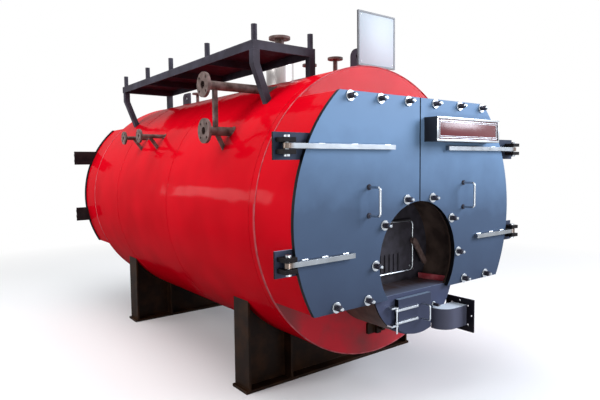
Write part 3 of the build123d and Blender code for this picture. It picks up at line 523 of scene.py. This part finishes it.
# %% Mix the dead plate's worn paint
mouth_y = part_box("furnace_casing")[0][1]
rake_depth = 0.12
rake_streak = per_metre(22)
raked_plate, shader, place = start_finish("slate_enamel_raked_bare")
scrape = add(raked_plate, "ShaderNodeMapping", {"Vector": place, "Scale": (1, 0.1, 1)})
scrape = add(raked_plate, "ShaderNodeTexNoise", {"Vector": scrape, "Scale": rake_streak, "Detail": 4.0})
inward = add(raked_plate, "ShaderNodeSeparateXYZ", {0: place}).node.outputs["Y"]
inward = add(raked_plate, "ShaderNodeMapRange",
             {"Value": inward, "From Min": mouth_y, "From Max": mouth_y + rake_depth})
bare = add(raked_plate, "ShaderNodeMath", {0: inward, 1: scrape, 2: 0.35}, operation="MULTIPLY_ADD")
bare = add(raked_plate, "ShaderNodeMath", {0: bare, 1: inward}, operation="MULTIPLY")
colour = add(raked_plate, "ShaderNodeMix", {0: bare, 6: linear("#646b80"), 7: linear("#3d2b22")},
             data_type="RGBA")
rough = add(raked_plate, "ShaderNodeMapRange", {"Value": scrape, "To Min": 0.3, "To Max": 0.6})
# Slate at the sill and scraped to brown in streaks that run inward.
plug(raked_plate, shader, {"Base Color": colour, "Roughness": rough})

# %% [markdown]
# ### Sign and board
#
# The sign is a black sheet box with a bright frame and a maroon acrylic face, and the board on the crown is
# a white laminate in a dark frame. Both faces are separate sheets on the real thing, so they are made as
# separate pieces further on.

# %% Mix the sign and board finishes
def moulded_sheet(name, colour_low, colour_high, rough, ripple):
    """A smooth sheet, such as acrylic or laminate, with a slow tint and a slight ripple."""
    finish, shader, place = start_finish(name)
    rounded = soft_edge(finish, 1)[0]
    slow = add(finish, "ShaderNodeTexNoise", {"Vector": place, "Scale": per_metre(ripple), "Detail": 2.0})
    colour = add(finish, "ShaderNodeMix", {0: slow, 6: linear(colour_low), 7: linear(colour_high)},
                 data_type="RGBA")
    gloss = add(finish, "ShaderNodeMapRange",
                {"Value": slow, "To Min": rough - 0.05, "To Max": rough + 0.08})
    skin = add(finish, "ShaderNodeBump",
               {"Height": slow, "Distance": 1.5 * mm, "Strength": 0.3, "Normal": rounded})
    # Smooth and a little uneven, so that the reflection bends.
    plug(finish, shader, {"Base Color": colour, "Roughness": gloss, "Normal": skin, "IOR": 1.49})
    return finish


black_sheet = moulded_sheet("black_enamelled_sheet", "#1c1b1f", "#2a292e", 0.32, 90)
maroon_acrylic = moulded_sheet("maroon_acrylic", "#5d1420", "#7a1b2a", 0.22, 140)
white_laminate = moulded_sheet("white_laminate", "#b6c2cc", "#c8d2da", 0.45, 180)
dark_frame = moulded_sheet("dark_anodised_frame", "#34363c", "#4a4d55", 0.38, 60)
rope = moulded_sheet("graphited_seal_rope", "#17161a", "#2a282c", 0.7, 5)

# %% [markdown]
# ## Dress the solids
#
# Each solid keeps its shape and gets its finish. A long list of single lines would hide the system, so the
# names are grouped by finish, and a solid that no group names stops the script.

# %% Give every solid its finish
dressing = {
    smoked_red: "front_lower_plate",
    red_enamel: """shell_barrel front_tube_plate rear_tube_plate front_box_left
        front_box_right front_box_top front_box_floor rear_box_left rear_box_right rear_box_top
        rear_box_floor""",
    slate_enamel: "left_door right_door rear_left_door rear_right_door",
    casing_slate: "casing_front_plate",
    even_dark_slate: "ash_door front_hinge_plates",
    duct_slate: "air_duct",
    saddle_paint: "front_saddle rear_saddle handhole_cover",
    hinge_paint: "front_hinge_brackets rear_hinge_brackets rear_hinge_plates",
    walkway_paint: "lifting_lugs walkway_frame walkway_deck walkway_posts walkway_legs",
    rusty_steel: "gauge_nozzles feed_nozzles safety_nozzles vent_nozzle steam_outlet fire_latch",
    strap_steel: "left_door_straps right_door_straps rear_door_straps",
    zinc_steel: """left_door_handle right_door_handle front_hinge_pins rear_hinge_pins ash_straps
        ash_handle ash_hinge""",
    stainless: "steam_collar",
    furnace_iron: "fire_plate fire_door fire_door_hinge",
    tube_steel: "smoke_tubes furnace_tube",
    throat: "furnace_casing",
    raked_plate: "dead_plate",
    black_sheet: "sign_box",
    dark_frame: "data_board",
}
undressed = set(nodes)
for finish, names in dressing.items():
    for name in names.split():
        for holder in nodes[name].material_slots:
            holder.material = finish
        undressed.remove(name)
assert not undressed, undressed
print("Dressed", len(nodes), "solids in", len(dressing), "finishes")

# %% [markdown]
# ## Helpers for small pieces
#
# Washers, nuts and rivets are turned forms, welds and trims are rods along a path, and plates are slabs
# with broken edges. Each helper adds its form to a bmesh, so that a row of fasteners becomes one piece that
# rides on one body.

# %% Turned forms, rods and slabs
def facing(point, direction):
    """A matrix that puts Z along a direction at a point."""
    return Matrix.Translation(point) @ Vector(direction).to_track_quat("Z", "Y").to_matrix().to_4x4()


def turn_form(shape, outline, place, sides):
    """Adds a turned form: outline is (radius, height) pairs from foot to tip, along the place's Z."""
    rings = []
    for radius, height in outline:
        angles = [math.tau * k / sides for k in range(sides if radius else 1)]
        ring = [Vector((radius * math.cos(a), radius * math.sin(a), height)) for a in angles]
        rings.append([shape.verts.new(place @ point) for point in ring])
    for lower, upper in zip(rings, rings[1:]):
        for k in range(sides):
            following = (k + 1) % sides
            loop = [lower[k % len(lower)], lower[following % len(lower)],
                    upper[following % len(upper)], upper[k % len(upper)]]
            corners = list(dict.fromkeys(loop))
            if len(corners) > 2:
                shape.faces.new(corners)


def rod_along(shape, points, radius, closed=False, ripple=0.0):
    """Adds a round rod along points; a ripple swells it at every other point, as a weld does."""
    curve = bpy.data.curves.new("rod", "CURVE")
    curve.dimensions = "3D"
    curve.bevel_depth = radius
    curve.bevel_resolution = 2
    curve.use_fill_caps = True
    spline = curve.splines.new("POLY")
    spline.points.add(len(points) - 1)
    spline.use_cyclic_u = closed
    for k, (stop, point) in enumerate(zip(spline.points, points)):
        stop.co = (*point, 1)
        stop.radius = 1 + ripple * (k % 2)
    holder = bpy.data.objects.new("rod", curve)
    mesh = bpy.data.meshes.new_from_object(holder)
    shape.from_mesh(mesh)
    bpy.data.objects.remove(holder)
    bpy.data.curves.remove(curve)
    bpy.data.meshes.remove(mesh)


def slab(shape, low, high, rounding, turn=Matrix()):
    """Adds a box from corner to corner with broken edges, and may turn it."""
    size = Vector(high) - Vector(low)
    middle = (Vector(high) + Vector(low)) / 2
    spread = turn @ Matrix.Translation(middle) @ Matrix.Diagonal((*size, 1))
    block = bmesh.ops.create_cube(shape, matrix=spread)
    edges = {edge for corner in block["verts"] for edge in corner.link_edges}
    bmesh.ops.bevel(shape, geom=list(edges), offset=rounding, segments=2, affect="EDGES", profile=0.5)


smooth_limit = math.radians(35)


def make_piece(name, shape, finish, body):
    """Turns a bmesh into a piece with a finish and a body to ride on."""
    bmesh.ops.recalc_face_normals(shape, faces=shape.faces)
    mesh = bpy.data.meshes.new(name)
    shape.to_mesh(mesh)
    shape.free()
    mesh.shade_smooth()
    mesh.set_sharp_from_angle(angle=smooth_limit)
    mesh.materials.append(finish)
    piece = bpy.data.objects.new(name, mesh)
    scene.collection.objects.link(piece)
    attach(piece, body)
    print(name, len(mesh.polygons), "faces on", body)


print("Helpers ready")

# %% [markdown]
# ## Door studs
#
# Each half door is drawn onto its seal by studs: a bright washer, a long dark nut and the stud's bright
# end. Rows run along the top and the bottom, and a ring goes round the mouth, one stud every 36 degrees.
# The rows' heights come from the door's edges and the ring from the mouth's circle. A stud belongs to the
# half it stands on, because it swings with it.

# %% Work out where the studs stand
mouth_z = 0.962
mouth_ring = 0.404
stud_edge = 30 * mm
top_row = door_high[2] - stud_edge
bottom_row = door_low[2] + stud_edge
top_studs = (-0.606, -0.360, -0.116, 0.146, 0.407, 0.659)
bottom_studs = (-0.718, -0.470, 0.474, 0.729)
ring_step = 36
ring_angles = [math.radians(a) for a in range(0, 181, ring_step)]
stud_places = [(x, top_row) for x in top_studs]
stud_places += [(x, bottom_row) for x in bottom_studs]
stud_places += [(mouth_ring * math.cos(a), mouth_z + mouth_ring * math.sin(a)) for a in ring_angles]
print(len(stud_places), "studs")

# %% Turn the studs
washer_radius, nut_radius, stud_radius = 32 * mm, 18 * mm, 10 * mm
washer_thick = 8 * mm
tip_length = 16 * mm


def stud_row(name, places, face_y, direction, body, reach, width=1.0):
    """Washers, nuts and stud ends at places (x, z) on an upright face; the ends stand out by the reach."""
    disc, hexagon, rod = washer_radius * width, nut_radius * width, stud_radius * width
    nut_end = reach - tip_length
    washer = [(0, 0), (disc - 1 * mm, 0), (disc, 1 * mm), (disc, washer_thick - 2 * mm),
              (disc - 2 * mm, washer_thick), (0, washer_thick)]
    nut = [(0, washer_thick), (hexagon - 2 * mm, washer_thick), (hexagon, washer_thick + 2 * mm),
           (hexagon, nut_end - 3 * mm), (hexagon - 3 * mm, nut_end), (0, nut_end)]
    tip = [(0, nut_end), (rod, nut_end), (rod, reach - 3 * mm), (rod - 2 * mm, reach), (0, reach)]
    washers, nuts, tips = bmesh.new(), bmesh.new(), bmesh.new()
    for x, z in places:
        spot = facing((x, face_y, z), direction)
        turn_form(washers, washer, spot, sides=32)
        turn_form(nuts, nut, spot, sides=6)
        turn_form(tips, tip, spot, sides=16)
    make_piece(name + "_washers", washers, zinc_steel, body)
    make_piece(name + "_nuts", nuts, walkway_paint, body)
    make_piece(name + "_stud_ends", tips, zinc_steel, body)


to_front, to_rear = (0, -1, 0), (0, 1, 0)
front_reach, rear_reach = 57 * mm, 40 * mm
halves = {"left_door": -1, "right_door": 1}
for body, side in halves.items():
    places = [(x, z) for x, z in stud_places if side * x > 0]
    stud_row(body, places, door_front, to_front, body, front_reach)
rear_places = [(x, z) for x, z in stud_places if z in (top_row, bottom_row)]
stud_row("rear_door", rear_places, rear_door_face, to_rear, "boiler", rear_reach)

# %% [markdown]
# The ash door is held by a smaller stud of the same kind on the furnace front, right of its handle. It
# stays on the boiler when the door swings.

# %% Turn the ash latch stud
casing_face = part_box("casing_front_plate")[0][1]
latch_place = (0.186, 0.621)
latch_reach = 62 * mm
stud_row("ash_latch", [latch_place], casing_face, to_front, "boiler", latch_reach, width=0.6)

# %% [markdown]
# ## Rope seals
#
# Behind the doors a graphited rope lies round the smokebox's rim and round the mouth. It is black, so from
# the front it only deepens the gap, but it shows when the doors stand open. A rope is a rod along a path; a
# strand pattern would be finer than a pixel, so the finish alone carries it.

# %% Lay the rope seals
door_back = door_high[1]
rim_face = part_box("front_box_left")[0][1]
rope_y = (door_back + rim_face) / 2
rope_inset = 7 * mm
rope_gap = 10 * mm
rim_rope_thick, mouth_rope_thick = 2.4 * mm, 3 * mm
seal_radius = 0.392
rope_steps = 60
rope_radius = drum_radius - rope_inset
rope_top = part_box("front_box_top")[1][2] - rope_inset - axis_z
rope_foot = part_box("front_box_floor")[0][2] + rope_inset - axis_z
start, end = math.asin(rope_foot / rope_radius), math.asin(rope_top / rope_radius)
turns = [start + (end - start) * k / rope_steps for k in range(rope_steps + 1)]
shape = bmesh.new()
for side in (-1, 1):
    arc = [(side * rope_radius * math.cos(a), rope_y, axis_z + rope_radius * math.sin(a)) for a in turns]
    rod_along(shape, arc + [(side * rope_gap, rope_y, axis_z + rope_top)], rim_rope_thick)
mouth_turns = [math.radians(a) for a in range(-30, 211, 4)]
seal_y = casing_face - mouth_rope_thick
seal = [(seal_radius * math.cos(a), seal_y, mouth_z + seal_radius * math.sin(a)) for a in mouth_turns]
rod_along(shape, seal, mouth_rope_thick)
make_piece("rope_seals", shape, rope, "boiler")

# %% [markdown]
# ## Welds on the straps
#
# The straps are tacked to the doors with three short runs of weld along the upper edge of each. A weld
# could be a smooth rod, but a hand weld is a row of overlapping ripples, so the rod's radius swells at
# every other point.

# %% Lay the strap welds
strap_height = 28 * mm
upper_strap, lower_strap = 1.670, 1.050
tack_length, tack_radius, tack_ripples = 46 * mm, 4.5 * mm, 9
tacks = {upper_strap: (0.300, 0.570, 0.815), lower_strap: (0.645, 0.800, 0.940)}
for body, side in halves.items():
    shape = bmesh.new()
    for middle_z, places in tacks.items():
        edge_z = middle_z + strap_height / 2
        for x in places:
            steps = [k / tack_ripples - 0.5 for k in range(tack_ripples + 1)]
            run = [(side * x + tack_length * step, door_front, edge_z) for step in steps]
            rod_along(shape, run, tack_radius, ripple=0.25)
    make_piece(body + "_strap_welds", shape, zinc_steel, body)

# %% [markdown]
# ## Handle feet
#
# Each door handle is a bent bar through two round feet. The bar is a solid already, so only the feet are
# turned here, as flat collars on the door.

# %% Turn the handle feet
foot_outline = [(0, 0), (17 * mm, 0), (17 * mm, 5 * mm), (13 * mm, 8 * mm), (0, 8 * mm)]
for body in halves:
    low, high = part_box(body + "_handle")
    bar = (high[0] - low[0]) / 2
    shape = bmesh.new()
    for z in (low[2] + bar, high[2] - bar):
        spot = facing(((low[0] + high[0]) / 2, door_front, z), to_front)
        turn_form(shape, foot_outline, spot, sides=28)
    make_piece(body + "_handle_feet", shape, walkway_paint, body)

# %% [markdown]
# ## Cladding bands and end beads
#
# The drum's lagging is covered in sheets that meet under narrow riveted bands, and the end plates are
# welded round their rims. A band is a thin ring, turned about the drum's axis with a real thickness of
# about a millimetre and a half, because a painted line would vanish at a glancing angle. The beads on the
# rims are a paler red, a painted highlight along the rims.

# %% Roll the bands and set the rivets
band_stations = (0.080, 1.300, 2.470)
band_width = 30 * mm
band_thick, band_sink = 1.6 * mm, 1 * mm
band_inside, band_outside = drum_radius - band_sink, drum_radius + band_thick
rivet_count = 60
rivet_outline = [(3.5 * mm, 0), (3.0 * mm, 1.0 * mm), (1.6 * mm, 1.7 * mm), (0, 1.9 * mm)]
rivet_sink = 0.2 * mm
bands = bmesh.new()
rivets = bmesh.new()
half = band_width / 2
band_outline = [(band_inside, -half), (band_outside, -half), (band_outside, half), (band_inside, half)]
for station in band_stations:
    y = drum_front + station
    turn_form(bands, band_outline, facing((0, y, axis_z), to_rear), sides=192)
    for k in range(rivet_count):
        a = math.tau * (k + 0.5) / rivet_count
        out = Vector((math.sin(a), 0, math.cos(a)))
        spot = Vector((0, y, axis_z)) + out * (band_outside - rivet_sink)
        turn_form(rivets, rivet_outline, facing(spot, out), sides=10)
make_piece("cladding_bands", bands, red_enamel, "boiler")
make_piece("cladding_rivets", rivets, red_enamel, "boiler")

# %% Bead the rims of the end plates
rim_points = 180
bead_radius = 4 * mm
beads = bmesh.new()
for y in (drum_front, drum_rear):
    ring = [math.tau * k / rim_points for k in range(rim_points)]
    rim = [(drum_radius * math.sin(a), y, axis_z + drum_radius * math.cos(a)) for a in ring]
    rod_along(beads, rim, bead_radius, closed=True)
make_piece("end_plate_beads", beads, ash_and_highlight_red, "boiler")

# %% [markdown]
# ## Welds round the nozzles
#
# A pipe that enters the drum is welded round its root. The weld follows the curve where the pipe's cylinder
# meets the drum's, which has a simple formula: go round the pipe, and at each angle step in to the drum's
# radius. The same formula serves the pipes on the side and those on the crown.

# %% Weld the nozzle roots
def root_curve(nozzle_y, pipe, height=None, points=48):
    """Closed curve where a pipe of that radius meets the drum: along X at a height, or upright if none."""
    curve = []
    for k in range(points):
        a = math.tau * k / points
        along, across = pipe * math.cos(a), pipe * math.sin(a)
        if height is None:
            rise = math.sqrt(drum_radius ** 2 - across ** 2)
            curve.append((across, nozzle_y + along, axis_z + rise))
        else:
            depth = math.sqrt(drum_radius ** 2 - (height + across - axis_z) ** 2)
            curve.append((-depth, nozzle_y + along, height + across))
    return curve


pipe_25, pipe_50 = 16.85 * mm, 30.15 * mm
root_weld, collar_bead = 6 * mm, 7 * mm
crown_stations = (-0.090, 0.220, 2.205)
gauge_station, gauge_heights = 0.043, (1.801, 2.102)
feed_stations, feed_height = (1.230, 1.600), 1.827
roots = [root_curve(y, pipe_25) for y in crown_stations]
roots += [root_curve(gauge_station, pipe_50, z) for z in gauge_heights]
roots += [root_curve(y, pipe_25, feed_height) for y in feed_stations]
shape = bmesh.new()
for root in roots:
    rod_along(shape, root, root_weld, closed=True, ripple=0.2)
make_piece("nozzle_welds", shape, rusty_steel, "boiler")

# %% Bead the steam collar's foot
collar_low, collar_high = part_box("steam_collar")
collar_y, collar_radius = (collar_low[1] + collar_high[1]) / 2, (collar_high[0] - collar_low[0]) / 2
shape = bmesh.new()
rod_along(shape, root_curve(collar_y, collar_radius, points=72), collar_bead, closed=True)
make_piece("collar_foot", shape, stainless, "boiler")

# %% [markdown]
# ## Inside the mouth
#
# The iron fire door has a bright rod welded round its edge, rounded at the corners, and two small bolts at
# its lower corner. A curve object with fillets could draw the rod; here the rounded rectangle is a short
# formula, four quarter circles one after another, and the rod helper runs along it. A red kerb lies on the
# dead plate along the right wall.

# %% Bend the trim round the fire door
def rounded_rectangle(low, high, radius, y, steps=8):
    """Points of a rounded rectangle in an upright plane; low and high are (x, z) corners."""
    middles = ((high[0] - radius, high[1] - radius), (low[0] + radius, high[1] - radius),
               (low[0] + radius, low[1] + radius), (high[0] - radius, low[1] + radius))
    points = []
    for quarter, (x, z) in enumerate(middles):
        for k in range(steps + 1):
            a = math.pi / 2 * (quarter + k / steps)
            points.append((x + radius * math.cos(a), y, z + radius * math.sin(a)))
    return points


fire_low, fire_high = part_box("fire_door")
fire_rim = 8 * mm
trim_inset, trim_corner, trim_radius = 9 * mm, 34 * mm, 5 * mm
trim_low = (trim_inset - fire_high[0], fire_low[2] + trim_inset)
trim_high = (fire_high[0] - trim_inset, fire_high[2] - trim_inset)
shape = bmesh.new()
rod_along(shape, rounded_rectangle(trim_low, trim_high, trim_corner, fire_low[1]), trim_radius, closed=True)
make_piece("fire_door_trim", shape, zinc_steel, "fire_door")

bolt_outline = [(0, 0), (9 * mm, 0), (9 * mm, 7 * mm), (7 * mm, 9 * mm), (0, 9 * mm)]
fire_plate_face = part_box("fire_plate")[0][1]
bolts = {"fire_door_bolt": ("fire_door", (0.203, fire_low[1] + fire_rim, 0.848)),
         "fire_plate_bolt": ("boiler", (0.262, fire_plate_face, 0.818))}
for name, (body, spot) in bolts.items():
    shape = bmesh.new()
    turn_form(shape, bolt_outline, facing(spot, to_front), sides=6)
    make_piece(name, shape, zinc_steel, body)

# %% Lay the red kerb
kerb_start, kerb_end = Vector((0.352, -0.850, sill_z)), Vector((0.300, -0.640, sill_z))
kerb_height, kerb_thick, kerb_edge = 40 * mm, 12 * mm, 2 * mm
run = kerb_end - kerb_start
turn = Matrix.Translation(kerb_start) @ Matrix.Rotation(math.atan2(run.y, run.x), 4, "Z")
shape = bmesh.new()
slab(shape, (0, -kerb_thick, 0), (run.length, 0, kerb_height), kerb_edge, turn)
make_piece("mouth_kerb", shape, ash_and_highlight_red, "boiler")

# %% [markdown]
# ## Sign and board faces
#
# The sign's face is a maroon sheet, framed by a bright strip with two fine lines inside it. The board's
# face is a plain white sheet held by four screws. A plane would do from the front, but both are real sheets
# in a recess that the solid has for them, so that their edges catch the light.

# %% Fit the sign's face
sign_low, sign_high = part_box("sign_box")
sign_rim, sign_recess = 14 * mm, 6 * mm
sheet_thick, sheet_edge = 2 * mm, 0.6 * mm
frame_thick, frame_edge = 1.5 * mm, 0.5 * mm
line_corner = 8 * mm
sign_front = sign_low[1]
sign_sheet = sign_front + sign_recess - sheet_thick
face_low = (sign_low[0] + sign_rim, sign_low[2] + sign_rim)
face_high = (sign_high[0] - sign_rim, sign_high[2] - sign_rim)
shape = bmesh.new()
slab(shape, (face_low[0], sign_sheet, face_low[1]),
     (face_high[0], sign_front + sign_recess, face_high[1]), sheet_edge)
make_piece("sign_face", shape, maroon_acrylic, "right_door")

shape = bmesh.new()
strips = [(sign_low[0], z, sign_high[0], z + sign_rim) for z in (sign_low[2], face_high[1])]
strips += [(x, face_low[1], x + sign_rim, face_high[1]) for x in (sign_low[0], face_high[0])]
for x, z, end_x, end_z in strips:
    slab(shape, (x, sign_front - frame_thick, z), (end_x, sign_front, end_z), frame_edge)
for inset, thickness in ((10 * mm, 3 * mm), (20 * mm, 2 * mm)):
    low = (face_low[0] + inset, face_low[1] + inset)
    high = (face_high[0] - inset, face_high[1] - inset)
    rod_along(shape, rounded_rectangle(low, high, line_corner, sign_sheet), thickness, closed=True)
make_piece("sign_frame", shape, zinc_steel, "right_door")

# %% Fit the board's face
board_low, board_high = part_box("data_board")
board_rim, board_recess = 12 * mm, 4 * mm
board_floor = board_low[1] + board_recess
board_sheet = board_floor - sheet_thick
shape = bmesh.new()
slab(shape, (board_low[0] + board_rim, board_sheet, board_low[2] + board_rim),
     (board_high[0] - board_rim, board_floor, board_high[2] - board_rim), sheet_edge)
make_piece("board_face", shape, white_laminate, "boiler")
shape = bmesh.new()
screw_inset = board_rim + 14 * mm
screw_outline = [(5 * mm, 0), (4.6 * mm, 1.2 * mm), (2.5 * mm, 2.2 * mm), (0, 2.4 * mm)]
for x in (board_low[0] + screw_inset, board_high[0] - screw_inset):
    for z in (board_low[2] + screw_inset, board_high[2] - screw_inset):
        turn_form(shape, screw_outline, facing((x, board_sheet, z), to_front), sides=14)
make_piece("board_screws", shape, zinc_steel, "boiler")

# %% [markdown]
# ## Chequer plate on the walkway
#
# The deck is steel plate rolled with short raised bars that cross from one row to the next. Bump could fake
# them, but from above they cast real shadows, so each is a small low lozenge.

# %% Roll the chequer pattern
deck_low, deck_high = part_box("walkway_deck")
bar_pitch = 36 * mm
bar_length, bar_width, bar_rise = 26 * mm, 7 * mm, 1.6 * mm
bar_foot = deck_high[2] - 0.1 * mm
shape = bmesh.new()
columns = int((deck_high[0] - deck_low[0] - bar_pitch) / bar_pitch)
rows = int((deck_high[1] - deck_low[1] - bar_pitch) / bar_pitch)
first_x = (deck_low[0] + deck_high[0] - (columns - 1) * bar_pitch) / 2
first_y = (deck_low[1] + deck_high[1] - (rows - 1) * bar_pitch) / 2
lozenge = ((-0.5, 0, 0), (0, -0.5, 0), (0.5, 0, 0), (0, 0.5, 0), (-0.3, 0, 1), (0.3, 0, 1))
lozenge_faces = ((0, 1, 4), (1, 2, 5), (1, 5, 4), (2, 3, 5), (3, 0, 4), (3, 4, 5), (0, 3, 2, 1))
for column in range(columns):
    for row in range(rows):
        lean = math.radians(45 if (column + row) % 2 else -45)
        spot = Matrix.Translation((first_x + column * bar_pitch, first_y + row * bar_pitch, bar_foot))
        spot = spot @ Matrix.Rotation(lean, 4, "Z") @ Matrix.Diagonal((bar_length, bar_width, bar_rise, 1))
        corners = [shape.verts.new(spot @ Vector(corner)) for corner in lozenge]
        for loop in lozenge_faces:
            shape.faces.new([corners[k] for k in loop])
make_piece("walkway_chequer", shape, walkway_paint, "boiler")
